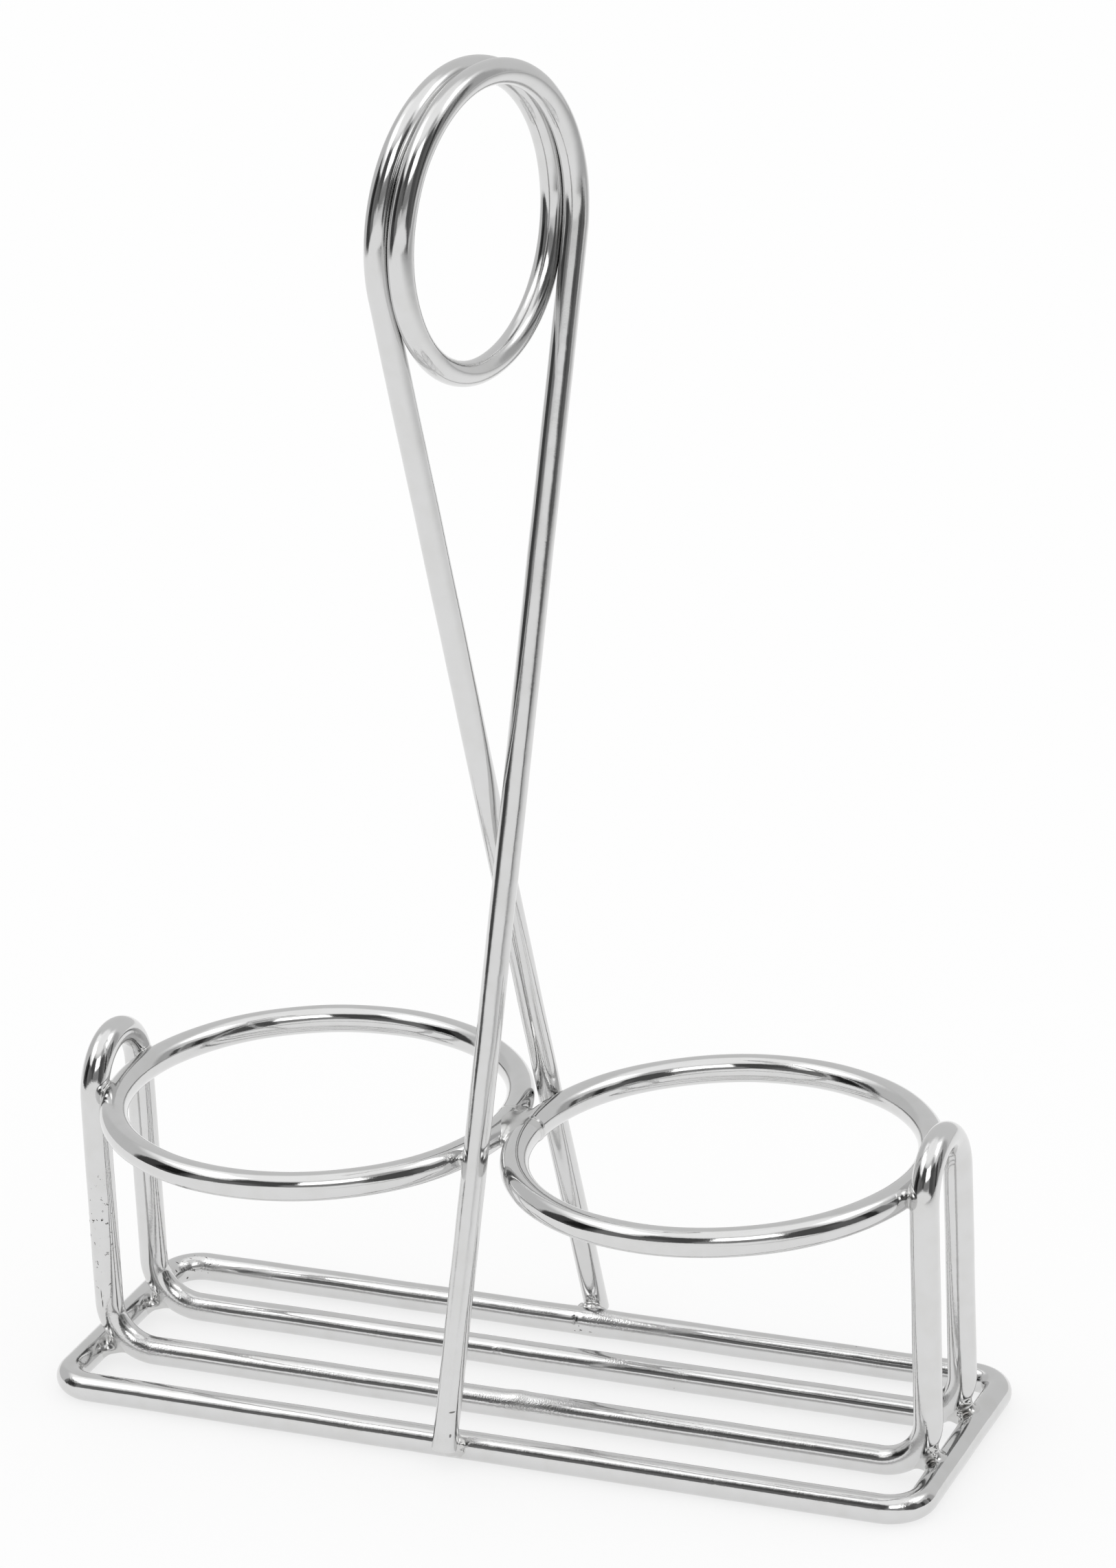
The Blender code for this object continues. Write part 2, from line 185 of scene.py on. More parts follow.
def linkShape(name, shape):
    mesh = bpy.data.meshes.new(name)
    shape.to_mesh(mesh)
    shape.free()
    piece = bpy.data.objects.new(name, mesh)
    bpy.context.scene.collection.objects.link(piece)
    return piece


def finishPiece(name, shape):
    # Millimetres in, metres out
    bmesh.ops.recalc_face_normals(shape, faces=shape.faces)
    piece = linkShape(name, shape)
    piece.data.transform(Matrix.Scale(mm, 4))
    piece.data.shade_smooth()
    return piece


def sweepWire(name, points, sizes, closed, spots):
    shape = bmesh.new()
    rims = drawWire(shape, points, sizes["radius"], sizes["sides"], closed, spots)
    if not closed:
        bmesh.ops.bevel(shape, geom=rims, affect="EDGES", offset=sizes["endRounding"],
                        segments=sizes["endSegments"], profile=0.5, material=-1)
    return finishPiece(name, shape)


def baseRingPath():
    cornerX = baseRing["halfLength"] - baseRing["cornerRadius"]
    cornerY = baseRing["halfWidth"] - baseRing["cornerRadius"]
    points = []
    for signX, signY, start in ((-1, 1, 90), (-1, -1, 180), (1, -1, 270), (1, 1, 0)):
        centre = Vector((signX * cornerX, signY * cornerY, baseRing["height"]))
        points += arcPoints(centre, Vector((1, 0, 0)), Vector((0, 1, 0)), baseRing["cornerRadius"],
                            start, start + 90, frameWire["bendStep"])
    return fillRuns(points, frameWire["runStep"], True)


def saddleEnd(side):
    # One end of the saddle: up the front bend, over the arch, down the rear bend
    bendX = saddle["legX"] - saddle["bendRadius"]
    bendZ = saddle["railHeight"] + saddle["bendRadius"]
    outward = Vector((side, 0, 0))
    upward = Vector((0, 0, 1))
    front = arcPoints(Vector((side * bendX, saddle["railFront"], bendZ)), outward, upward,
                      saddle["bendRadius"], -90, 0, frameWire["bendStep"])
    rear = arcPoints(Vector((side * bendX, saddle["railRear"], bendZ)), outward, upward,
                     saddle["bendRadius"], 0, -90, frameWire["bendStep"])
    arch = arcPoints(Vector((side * saddle["archX"], saddle["archMiddle"], saddle["archHeight"])),
                     Vector((0, 1, 0)), upward, saddle["archRadius"], 180, 0, frameWire["bendStep"])
    return front + arch + rear


def saddlePath():
    points = saddleEnd(1) + list(reversed(saddleEnd(-1)))
    return fillRuns(points, frameWire["runStep"], True)


def seamTurn(angle, seam):
    # Degrees past the seam, from -180 to 180
    return (angle - seam["angle"] + 180) % 360 - 180


def ringPath(ring):
    seam = ring["seam"]
    tilt = math.radians(ring["tilt"])
    along = Vector((math.cos(tilt), 0, math.sin(tilt)))
    count = round(math.tau * ring["radius"] / frameWire["bendStep"])
    angles = [seam["angle"] + 360 * index / count for index in range(count)]
    near, parts = frameWire["seamSteps"], frameWire["seamParts"]
    fine = [angle + 360 * part / count / parts
            for angle in angles[-near:] + angles[:near] for part in range(parts)]
    points = []
    for angle in sorted(set(angles[near:-near] + fine), key=lambda item: item % 360):
        turn = seamTurn(angle, seam)
        before = math.exp(turn / seam["fade"]) if turn < 0 else 0
        outward = along * math.cos(math.radians(angle)) + Vector((0, 1, 0)) * math.sin(math.radians(angle))
        point = Vector(ring["centre"]) + outward * (ring["radius"] + seam["off"][0] * before)
        points.append(point + Vector((0, 0, seam["off"][1] * before)))
    return points


def loopPoint(angle):
    # Degrees from the rear side of the loop, over the top first; the winding climbs sideways
    yaw = math.radians(handle["loopTurn"])
    across = Vector((math.sin(yaw), math.cos(yaw), 0))
    beside = Vector((math.cos(yaw), -math.sin(yaw), 0))
    turn = math.radians(angle)
    point = Vector((0, 0, handle["loopHeight"]))
    point += (across * math.cos(turn) + Vector((0, 0, 1)) * math.sin(turn)) * handle["loopRadius"]
    return point + beside * (handle["climb"] * (270 - angle) / 360)


def legTop(foot, front):
    # Angle on the loop where the straight leg meets it
    yaw = math.radians(handle["loopTurn"])
    level = foot.x * math.sin(yaw) + foot.y * math.cos(yaw)
    drop = foot.z - handle["loopHeight"]
    spread = math.degrees(math.acos(handle["loopRadius"] / math.hypot(level, drop)))
    bearing = math.degrees(math.atan2(drop, level))
    return bearing + spread if front else bearing - spread + 720  # two turns further


def smoothStep(share):
    share = min(max(share, 0), 1)
    return share * share * (3 - 2 * share)


def legPath(foot, top, push):
    # Straight leg with a slight bow where it is pressed against a ring
    count = round((top - foot).length / handleWire["runStep"])
    points = []
    for index in range(count):
        point = foot.lerp(top, index / count)
        if point.z < handle["pressHeight"]:
            share = smoothStep((point.z - handle["bowFrom"]) / (handle["pressHeight"] - handle["bowFrom"]))
        else:
            share = 1 - smoothStep((point.z - handle["pressHeight"]) / (top.z - handle["pressHeight"]))
        points.append(point + push * share)
    return points


def handlePath():
    frontFoot = Vector((*handle["frontFoot"], handle["frontBottom"]))
    rearFoot = Vector((*handle["rearFoot"], handle["rearBottom"]))
    first = legTop(frontFoot, True)
    last = legTop(rearFoot, False)
    press = math.radians(handle["pressAngle"])
    away = Vector((math.sin(press), -math.cos(press), 0))
    count = round(math.radians(last - first) * handle["loopRadius"] / handleWire["turnStep"])
    loop = [loopPoint(first + (last - first) * index / count) for index in range(count + 1)]
    front = legPath(frontFoot, loop[0], -away * handle["frontPress"])
    rear = legPath(rearFoot, loop[-1], away * handle["rearPress"])
    return front + loop + list(reversed(rear))


def place(piece, slotName, *nodes):
    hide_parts(*nodes)
    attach(piece, "root")


paths = {"base": baseRingPath(), "saddle": saddlePath(), "left": ringPath(rings["left"]),
         "right": ringPath(rings["right"]), "handle": handlePath()}
noise.seed_set(wander["seed"])  # unset, Blender seeds it from the clock and each run differs
paths = {name: wandered(points) for name, points in paths.items()}
for name in ("base", "saddle"):
    paths[name] = refined(paths[name], Vector(lumps[name][0][0]))

wires = {
    "base": {"piece": "baseRingWire", "slot": "frame_wire", "nodes": ("base_ring", "base_butt_weld"),
             "sizes": frameWire, "closed": True},
    "saddle": {"piece": "saddleRackWire", "slot": "frame_wire", "nodes": ("saddle_wire", "saddle_butt_weld"),
               "sizes": frameWire, "closed": True},
    "left": {"piece": "leftShakerRing", "slot": "ring_wire", "nodes": ("left_ring",),
             "sizes": frameWire, "closed": True},
    "right": {"piece": "rightShakerRing", "slot": "ring_wire", "nodes": ("right_ring",),
              "sizes": frameWire, "closed": True},
    "handle": {"piece": "handleLoopWire", "slot": "handle_wire", "nodes": ("handle_wire",),
               "sizes": handleWire, "closed": False},
}
wirePieces = []
for name, wire in wires.items():
    piece = sweepWire(wire["piece"], paths[name], wire["sizes"], wire["closed"], lumps.get(name, ()))
    place(piece, wire["slot"], *wire["nodes"])
    wirePieces.append((piece, wire["slot"]))
print("Wires drawn")

# How the weld metal is drawn, in millimetres: grain of the grid it is melted on, how long drops flow, and
# how fast flowing thins a wire. Away from the contact the skin sinks into the bare wires
flow = {"voxel": 0.13, "dropVoxel": 0.11, "dropRounds": 50, "strength": 0.5, "thinning": 0.04,
        "under": 0.03, "sides": 36, "webDetail": 4, "dropDetail": 3, "search": 12.0,
        "sinkFrom": 0.38, "sinkRate": 0.05, "sinkMost": 0.3}

# Each weld: the two wires, a place close by, how far round it metal is drawn, rounds of flowing, webs that
# fill the corner (offset from the contact, half sizes) and drops that were squeezed out (offset, radius)
welds = {
    "leftFrontSaddleWeld": {
        "node": "saddle_weld_left_front", "wires": ("base", "saddle"), "near": (-61, -7, 3.4), "reach": 7.5,
        "rounds": 420, "webs": [((0.9, -0.3, -1.0), (1.5, 2.1, 1.0)), ((1.2, -1.6, -1.3), (1.4, 1.2, 0.7))],
        "drops": [((0.95, -1.6, -0.1), 0.4)]},
    "leftRearSaddleWeld": {
        "node": "saddle_weld_left_rear", "wires": ("base", "saddle"), "near": (-61, 7, 3.4), "reach": 7.5,
        "rounds": 420, "webs": [((0.9, -0.2, -1.0), (1.5, 2.0, 1.0)), ((1.1, -1.5, -1.3), (1.3, 1.1, 0.7))],
        "drops": [((0.9, -1.5, 0.1), 0.38)]},
    "rightFrontSaddleWeld": {
        "node": "saddle_weld_right_front", "wires": ("base", "saddle"), "near": (61, -7, 3.4), "reach": 7.5,
        "rounds": 200, "webs": [((0, 0, 0), (1.2, 1.7, 1.4)), ((-0.8, 0.1, -0.9), (1.3, 1.4, 1.0)),
                                ((0.9, -0.5, 1.0), (0.7, 1.1, 0.9))],
        "drops": [((0.4, -1.3, 2.0), 0.42), ((1.0, -0.95, 2.15), 0.4), ((0.95, -1.35, 1.3), 0.36)]},
    "rightRearSaddleWeld": {
        "node": "saddle_weld_right_rear", "wires": ("base", "saddle"), "near": (61, 7, 3.4), "reach": 7.5,
        "rounds": 160, "webs": [((0, 0.2, 0), (1.2, 1.7, 1.4)), ((-0.8, 0, -0.9), (1.3, 1.7, 1.0)),
                                ((0.9, -0.3, 0.9), (0.7, 1.0, 0.9))],
        "drops": [((-0.25, -1.8, 0.2), 0.42), ((0.35, -1.2, 1.9), 0.4), ((0.95, -0.85, 1.9), 0.4)]},
    "leftFrontRingWeld": {
        "node": "ring_weld_left_front", "wires": ("left", "saddle"), "near": (-59, -8, 41), "reach": 6.0,
        "rounds": 40, "webs": [], "drops": []},
    "leftRearRingWeld": {
        "node": "ring_weld_left_rear", "wires": ("left", "saddle"), "near": (-59, 8, 41), "reach": 6.0,
        "rounds": 40, "webs": [], "drops": []},
    "rightFrontRingWeld": {
        "node": "ring_weld_right_front", "wires": ("right", "saddle"), "near": (59, -8, 41), "reach": 6.0,
        "rounds": 40, "webs": [], "drops": []},
    "rightRearRingWeld": {
        "node": "ring_weld_right_rear", "wires": ("right", "saddle"), "near": (59, 8, 41), "reach": 6.0,
        "rounds": 40, "webs": [], "drops": []},
    "middleRingWeld": {
        "node": "centre_ring_weld", "wires": ("left", "right"), "near": (0, 0, 41), "reach": 9.0,
        "rounds": 500, "webs": [((-0.55, -1.6, 0.9), (1.9, 3.2, 1.15)), ((0, 0, 0), (0.9, 3.6, 1.4))],
        "drops": []},
    "frontLegWeld": {
        "node": "front_leg_weld", "wires": ("left", "handle"), "near": (-6, -17, 41), "reach": 6.0,
        "rounds": 40, "webs": [((0, 0, 0), (0.9, 0.9, 0.9))],
        "drops": [((-1.33, -1.51, 0.85), 0.36), ((-1.7, -2.35, 0.65), 0.32)]},
    "rearLegWeld": {
        "node": "rear_leg_weld", "wires": ("right", "handle"), "near": (6, 17, 41), "reach": 6.0,
        "rounds": 120, "webs": [], "drops": []},
    "frontFootWeld": {
        "node": "front_foot_weld", "wires": ("base", "handle"), "near": (-2.8, -22, 3), "reach": 5.5,
        "rounds": 120, "webs": [((0, 0.2, 0.2), (1.4, 0.9, 1.8)), ((0, -0.2, -0.7), (1.3, 0.9, 0.8))],
        "drops": [((1.45, -0.3, 2.2), 0.36), ((1.6, 0.0, 0.6), 0.36), ((1.75, 0, -0.3), 0.44),
                  ((2.3, 0.8, 1.0), 0.3)]},
    "rearFootWeld": {
        "node": "rear_foot_weld", "wires": ("base", "handle"), "near": (0.7, 22, 3), "reach": 5.5,
        "rounds": 60, "webs": [((0.2, -0.4, 0.7), (1.8, 0.9, 1.0))],
        "drops": [((-1.2, -0.8, 1.3), 0.5), ((-0.4, -1.1, 1.6), 0.46), ((0.5, -1.1, 1.55), 0.5),
                  ((1.4, -0.9, 1.35), 0.5), ((2.2, -0.8, 1.2), 0.42)]},
}


def contactPoint(first, second, near):
    # Middle of the shortest way between two wires, close to a known place
    pairs = [[point for point in points if (point - near).length < flow["search"]]
             for points in (first, second)]
    here, there = min(((one, other) for one in pairs[0] for other in pairs[1]),
                      key=lambda pair: (pair[0] - pair[1]).length)
    return (here + there) / 2


def cutOut(points, middle, reach):
    # The run of a wire within reach of a place; it starts from the farthest station
    far = max(range(len(points)), key=lambda index: (points[index] - middle).length)
    turned = points[far:] + points[:far]
    return [point for point in turned if (point - middle).length < reach]


def flowed(shape, voxel, rounds):
    # Melts everything in the shape into one skin and lets it flow smooth
    mesh = bpy.data.meshes.new("melt")
    shape.to_mesh(mesh)
    melt = bpy.data.objects.new("melt", mesh)
    bpy.context.scene.collection.objects.link(melt)
    remesh = melt.modifiers.new("skin", "REMESH")
    remesh.mode = "VOXEL"
    remesh.voxel_size = voxel
    smooth = melt.modifiers.new("flow", "SMOOTH")
    smooth.factor = flow["strength"]
    smooth.iterations = rounds
    skin = bpy.data.meshes.new_from_object(melt.evaluated_get(bpy.context.evaluated_depsgraph_get()))
    shape.clear()
    shape.from_mesh(skin)
    bpy.data.objects.remove(melt)
    bpy.data.meshes.remove(mesh)
    bpy.data.meshes.remove(skin)


def sinkEnds(shape, axis, middle, reach):
    # Draws the ends of the skin in towards the lines of the wires
    tree = KDTree(len(axis))
    for index, point in enumerate(axis):
        tree.insert(point, index)
    tree.balance()
    for vert in shape.verts:
        away = max(0, (vert.co - middle).length - reach * flow["sinkFrom"])
        nearest = tree.find(vert.co)[0]
        vert.co = vert.co.lerp(nearest, min(flow["sinkMost"], away * flow["sinkRate"]))


def addWeld(name, weld):
    middle = contactPoint(*(paths[wire] for wire in weld["wires"]), Vector(weld["near"]))
    shape = bmesh.new()
    axis = []
    for wire in weld["wires"]:
        radius = wires[wire]["sizes"]["radius"]
        thinned = weld["rounds"] * flow["voxel"] ** 2 * flow["thinning"] / radius
        run = cutOut(paths[wire], middle, weld["reach"])
        drawWire(shape, run, radius + thinned - flow["under"], flow["sides"], False)
        axis += run
    for offset, halfSizes in weld["webs"]:
        spot = Matrix.Translation(middle + Vector(offset)) @ Matrix.Diagonal((*halfSizes, 1))
        bmesh.ops.create_icosphere(shape, subdivisions=flow["webDetail"], radius=1, matrix=spot)
    bmesh.ops.recalc_face_normals(shape, faces=shape.faces)
    flowed(shape, flow["voxel"], weld["rounds"])
    if weld["drops"]:
        for offset, radius in weld["drops"]:
            spot = Matrix.Translation(middle + Vector(offset))
            bmesh.ops.create_icosphere(shape, subdivisions=flow["dropDetail"], radius=radius, matrix=spot)
        flowed(shape, flow["dropVoxel"], flow["dropRounds"])
    sinkEnds(shape, axis, middle, weld["reach"])
    piece = finishPiece(name, shape)
    place(piece, "weld_bead", weld["node"])
    return piece


weldPieces = [addWeld(name, weld) for name, weld in welds.items()]
print("Welds drawn")


def addNode(tree, kind, **values):
    node = tree.nodes.new(kind)
    for key, value in values.items():
        setattr(node, key, value)
    return node


def addMath(tree, operation, first, second=None):
    # One sum: either side is a number or a socket
    node = addNode(tree, "ShaderNodeMath", operation=operation)
    for index, side in enumerate((first, second)):
        if side is None:
            continue
        if isinstance(side, (int, float)):
            node.inputs[index].default_value = side
        else:
            tree.links.new(side, node.inputs[index])
    return node.outputs[0]


def flawGroup():
    # Mask of one egg-shaped place on the object, soft at its edge
    group = bpy.data.node_groups.new("flawPlace", "ShaderNodeTree")
    for label in ("Point", "Place", "Half Size"):
        group.interface.new_socket(label, in_out="INPUT", socket_type="NodeSocketVector")
    group.interface.new_socket("Softness", in_out="INPUT", socket_type="NodeSocketFloat")
    group.interface.new_socket("Behind", in_out="INPUT", socket_type="NodeSocketFloat")
    group.interface.new_socket("Mask", in_out="OUTPUT", socket_type="NodeSocketFloat")
    given = group.nodes.new("NodeGroupInput").outputs
    offset = addNode(group, "ShaderNodeVectorMath", operation="SUBTRACT")
    group.links.new(given["Point"], offset.inputs[0])
    group.links.new(given["Place"], offset.inputs[1])
    share = addNode(group, "ShaderNodeVectorMath", operation="DIVIDE")
    group.links.new(offset.outputs["Vector"], share.inputs[0])
    group.links.new(given["Half Size"], share.inputs[1])
    length = addNode(group, "ShaderNodeVectorMath", operation="LENGTH")
    group.links.new(share.outputs["Vector"], length.inputs[0])
    edge = addNode(group, "ShaderNodeMapRange", interpolation_type="SMOOTHSTEP")
    group.links.new(length.outputs["Value"], edge.inputs["Value"])
    edge.inputs["From Min"].default_value = 1.0
    group.links.new(addMath(group, "SUBTRACT", 1.0, given["Softness"]), edge.inputs["From Max"])
    mask = addMath(group, "MAXIMUM", edge.outputs["Result"], given["Behind"])
    group.links.new(mask, group.nodes.new("NodeGroupOutput").inputs["Mask"])
    return group


def addNoise(tree, point, scale, detail):
    node = addNode(tree, "ShaderNodeTexNoise")
    tree.links.new(point, node.inputs["Vector"])
    for label, value in (("Scale", scale), ("Detail", detail)):
        node.inputs[label].default_value = value
    return node.outputs["Fac"]


def addRamp(tree, value, low, high):
    node = addNode(tree, "ShaderNodeMapRange", interpolation_type="SMOOTHSTEP")
    tree.links.new(value, node.inputs["Value"])
    node.inputs["From Min"].default_value = low
    node.inputs["From Max"].default_value = high
    return node.outputs["Result"]


# Plating, in millimetres: scales and details of its ripples, grain, patches, stains and pits, how much
# grain the patches and rough places have, and what they add to the roughness
plating = {
    "rippleScale": 0.3, "rippleDetail": 2,
    "grainScale": 4.4, "grainDetail": 1, "grainEverywhere": 0.25, "grainInPatches": 0.75, "roughGrain": 3.0,
    "patchScale": 0.16, "patchDetail": 3, "patchFrom": 0.45, "patchTo": 0.65,
    "patchAdds": 0.04, "roughAdds": 0.07, "bareRoughness": 0.55,
    "stainScale": 0.32, "stainDetail": 4, "stainFrom": 0.35, "stainTo": 0.75,
    "pitScale": 1.25, "pitSize": 0.24, "pitEdge": 0.1, "pitWarp": 0.9, "pitDepth": 0.02,
}


def plateGroup():
    # Ripples, grain, rough patches and pits of a chrome plate that has been in use
    group = bpy.data.node_groups.new("plateWear", "ShaderNodeTree")
    group.interface.new_socket("Point", in_out="INPUT", socket_type="NodeSocketVector")
    for label in ("Roughness", "Ripple", "Grain", "Pits", "Rough Mask", "Pit Mask", "Bare Mask"):
        group.interface.new_socket(label, in_out="INPUT", socket_type="NodeSocketFloat")
    for label in ("Roughness", "Height", "Bare", "Stain"):
        group.interface.new_socket(label, in_out="OUTPUT", socket_type="NodeSocketFloat")
    given = group.nodes.new("NodeGroupInput").outputs
    point = given["Point"]
    ripple = addNoise(group, point, plating["rippleScale"], plating["rippleDetail"])
    ripple = addMath(group, "MULTIPLY", ripple, given["Ripple"])
    patches = addNoise(group, point, plating["patchScale"], plating["patchDetail"])
    patches = addRamp(group, patches, plating["patchFrom"], plating["patchTo"])
    grainShare = addMath(group, "MULTIPLY", patches, plating["grainInPatches"])
    grainShare = addMath(group, "ADD", grainShare, plating["grainEverywhere"])
    grainShare = addMath(group, "ADD", grainShare,
                         addMath(group, "MULTIPLY", given["Rough Mask"], plating["roughGrain"]))
    grain = addNoise(group, point, plating["grainScale"], plating["grainDetail"])
    grain = addMath(group, "MULTIPLY", grain, given["Grain"])
    grain = addMath(group, "MULTIPLY", grain, grainShare)
    warp = addNode(group, "ShaderNodeTexNoise")
    group.links.new(point, warp.inputs["Vector"])
    warp.inputs["Scale"].default_value = plating["grainScale"]
    shift = addNode(group, "ShaderNodeVectorMath", operation="SCALE")
    group.links.new(warp.outputs["Color"], shift.inputs[0])
    shift.inputs["Scale"].default_value = plating["pitWarp"]
    moved = addNode(group, "ShaderNodeVectorMath", operation="ADD")
    group.links.new(point, moved.inputs[0])
    group.links.new(shift.outputs["Vector"], moved.inputs[1])
    cells = addNode(group, "ShaderNodeTexVoronoi")
    group.links.new(moved.outputs["Vector"], cells.inputs["Vector"])
    cells.inputs["Scale"].default_value = plating["pitScale"]
    chance = addNode(group, "ShaderNodeSeparateColor")
    group.links.new(cells.outputs["Color"], chance.inputs[0])
    share = addMath(group, "MAXIMUM", given["Pits"], given["Pit Mask"])
    chosen = addMath(group, "LESS_THAN", chance.outputs[0], share)
    size = addMath(group, "MULTIPLY", chance.outputs[1], plating["pitSize"])
    hole = addNode(group, "ShaderNodeMapRange", interpolation_type="SMOOTHSTEP")
    group.links.new(cells.outputs["Distance"], hole.inputs["Value"])
    group.links.new(addMath(group, "ADD", size, plating["pitEdge"]), hole.inputs["From Min"])
    group.links.new(size, hole.inputs["From Max"])
    pit = addMath(group, "MULTIPLY", hole.outputs["Result"], chosen)
    pit = addMath(group, "MAXIMUM", pit, given["Bare Mask"])
    height = addMath(group, "ADD", ripple, grain)
    height = addMath(group, "SUBTRACT", height, addMath(group, "MULTIPLY", pit, plating["pitDepth"]))
    patchRough = addMath(group, "MULTIPLY", patches, plating["patchAdds"])
    placeRough = addMath(group, "MULTIPLY", given["Rough Mask"], plating["roughAdds"])
    rough = addMath(group, "ADD", given["Roughness"], addMath(group, "ADD", patchRough, placeRough))
    rough = addMath(group, "MAXIMUM", rough, addMath(group, "MULTIPLY", pit, plating["bareRoughness"]))
    stain = addNoise(group, point, plating["stainScale"], plating["stainDetail"])
    stain = addRamp(group, stain, plating["stainFrom"], plating["stainTo"])
    output = group.nodes.new("NodeGroupOutput")
    for label, value in (("Roughness", rough), ("Height", height), ("Bare", pit), ("Stain", stain)):
        group.links.new(value, output.inputs[label])
    return group


# Values of each finish: plate, stained and bare colour (also laid on as painted shade), roughness, heights of
# ripple and grain in millimetres, share of cells with a pit, and rough, pitted, bare or dark places (place,
# half sizes, softness); the dark places are dark seam lines and painted shade in the weld crevices
finishes = {
    "frame_wire": {
        "name": "frameWirePlate",
        "colour": (0.69, 0.69, 0.69, 1), "stain": (0.665, 0.663, 0.658, 1), "bareAndShadeColour": (0.10, 0.095, 0.09, 1),
        "roughness": 0.09, "ripple": 0.03, "grain": 0.008, "pits": 0.001,
        "Rough Mask": [
            ((2.5, -8.6, 3.2), (10.0, 2.8, 2.6), 0.7), ((4.6, 18.9, 3.2), (5.4, 2.4, 2.2), 0.6),
            ((-55.0, -9.0, 3.4), (6.4, 2.8, 4.6), 1.0), ((-55.0, 5.6, 3.4), (6.4, 2.8, 4.6), 1.0),
            ((-60.6, -21.2, 3.0), (2.8, 1.4, 1.3), 0.9), ((-58.9, 18.2, 3.4), (4.2, 2.2, 1.8), 0.5),
            ((62.2, -20.2, 3.6), (1.5, 1.4, 0.9), 0.5), ((-62.4, -12.0, 3.9), (0.8, 1.1, 0.6), 0.6),
            ((-7.2, 5.6, 3.2), (1.0, 0.6, 0.6), 0.5), ((10.6, 6.2, 3.9), (2.2, 0.7, 0.7), 0.5),
            ((0.8, -21.0, 3.7), (2.4, 1.0, 0.8), 0.6)],
        "Pit Mask": [((-60.6, -9.0, 19.5), (2.6, 2.2, 13.0), 0.35),
                     ((-59.9, 18.0, 2.8), (3.4, 2.6, 2.2), 0.4),
                     ((0.8, 18.2, 1.8), (1.7, 0.8, 1.1), 0.4)],
        "Bare Mask": [((-61.15, -9.2, 10.9), (0.08, 0.6, 0.95), 0.5),
                      ((-61.02, -9.25, 9.5), (0.09, 0.6, 0.8), 0.5),
                      ((0.46, 18.05, 1.5), (0.3, 0.5, 0.13), 0.6),
                      ((1.93, 18.05, 1.4), (0.34, 0.5, 0.07), 0.6),
                      ((-0.5, 18.25, 1.2), (0.13, 0.5, 0.1), 0.6),
                      ((-61.9, 16.6, 3.8), (0.45, 0.12, 0.3), 0.5),
                      ((-61.4, 15.1, 3.2), (0.3, 0.16, 0.3), 0.5),
                      ((-60.7, 17.0, 1.3), (0.3, 0.2, 0.25), 0.5)],
        # The first dark place is the seam line in the nick of the base butt; the second is painted shade in
        # the crevice of the right front saddle weld
        "Seam Line And Painted Shade Mask": [((-0.45, 18.3, 2.6), (0.12, 0.5, 0.32), 0.6),
                      ((61.9, -9.2, 4.2), (0.9, 1.2, 1.2), 0.9)]},
    "ring_wire": {
        "name": "ringWirePlate",
        "colour": (0.69, 0.69, 0.69, 1), "stain": (0.668, 0.667, 0.662, 1), "bareAndShadeColour": (0.14, 0.13, 0.12, 1),
        "roughness": 0.07, "ripple": 0.026, "grain": 0.0045, "pits": 0.0005,
        "Rough Mask": [((-1.5, 0.4, 42.6), (1.6, 4.0, 1.4), 0.6), ((2.6, -0.6, 42.0), (1.6, 2.2, 2.0), 0.6),
                       ((-3.8, -14.8, 42.3), (1.6, 1.6, 1.2), 0.6)],
        "Seam Line And Painted Shade Mask": [((2.3, -0.03, 41.2), (2.1, 0.06, 3.0), 0.6)]},
    "handle_wire": {
        "name": "handleWirePlate",
        "colour": (0.69, 0.69, 0.69, 1), "stain": (0.67, 0.669, 0.664, 1), "bareAndShadeColour": (0.26, 0.255, 0.25, 1),
        "roughness": 0.11, "ripple": 0.024, "grain": 0.0045, "pits": 0.0,
        "Rough Mask": [((0.4, 9.6, 43.8), (2.6, 2.6, 3.4), 0.7),
                       ((-2.0, -24.6, 5.0), (1.6, 1.6, 1.6), 0.6)],
        "Bare Mask": [((-1.4, -23.85, 8.8), (0.5, 0.8, 0.14), 0.5),
                      ((-1.5, -24.6, 5.6), (0.16, 0.6, 0.3), 0.5)]},
    "weld_bead": {
        "name": "weldBeadPlate",
        "colour": (0.66, 0.66, 0.655, 1), "stain": (0.6, 0.597, 0.59, 1), "bareAndShadeColour": (0.10, 0.09, 0.08, 1),
        "roughness": 0.17, "ripple": 0.03, "grain": 0.004, "pits": 0.0,
        "Rough Mask": [((-0.92, -22.05, 2.2), (0.9, 0.9, 0.8), 0.5),
                       ((1.4, 21.0, 3.9), (2.6, 1.4, 1.0), 0.5)],
        "Pit Mask": [((1.4, 21.0, 3.7), (2.6, 1.4, 0.8), 0.5), ((-0.9, -22.1, 2.1), (0.7, 0.7, 0.5), 0.5)],
        # Painted shade in the crevices of the right front, right rear and left front saddle welds
        "Seam Line And Painted Shade Mask": [((61.8, -9.0, 3.9), (1.3, 1.4, 1.2), 0.9), ((61.9, 5.7, 4.0), (1.2, 1.2, 0.9), 0.8),
                      ((-60.9, -9.1, 3.95), (0.6, 0.8, 0.7), 0.9)]},
}
# How much of each kind of place shows: of the cells of a pitted one, of the dark colour laid on a dark seam
# line and as painted shade in a weld crevice
maskShares = {"Rough Mask": 1.0, "Pit Mask": 0.8, "Bare Mask": 1.0, "Seam Line And Painted Shade Mask": 0.8}


def addPlaces(tree, point, flaw, places):
    # One mask over all places of a kind
    mask = None
    for spot, halfSize, softness in places:
        egg = addNode(tree, "ShaderNodeGroup", node_tree=flaw)
        tree.links.new(point, egg.inputs["Point"])
        for label, value in (("Place", spot), ("Half Size", halfSize), ("Softness", softness)):
            egg.inputs[label].default_value = value
        if mask:
            tree.links.new(mask, egg.inputs["Behind"])
        mask = egg.outputs["Mask"]
    return mask


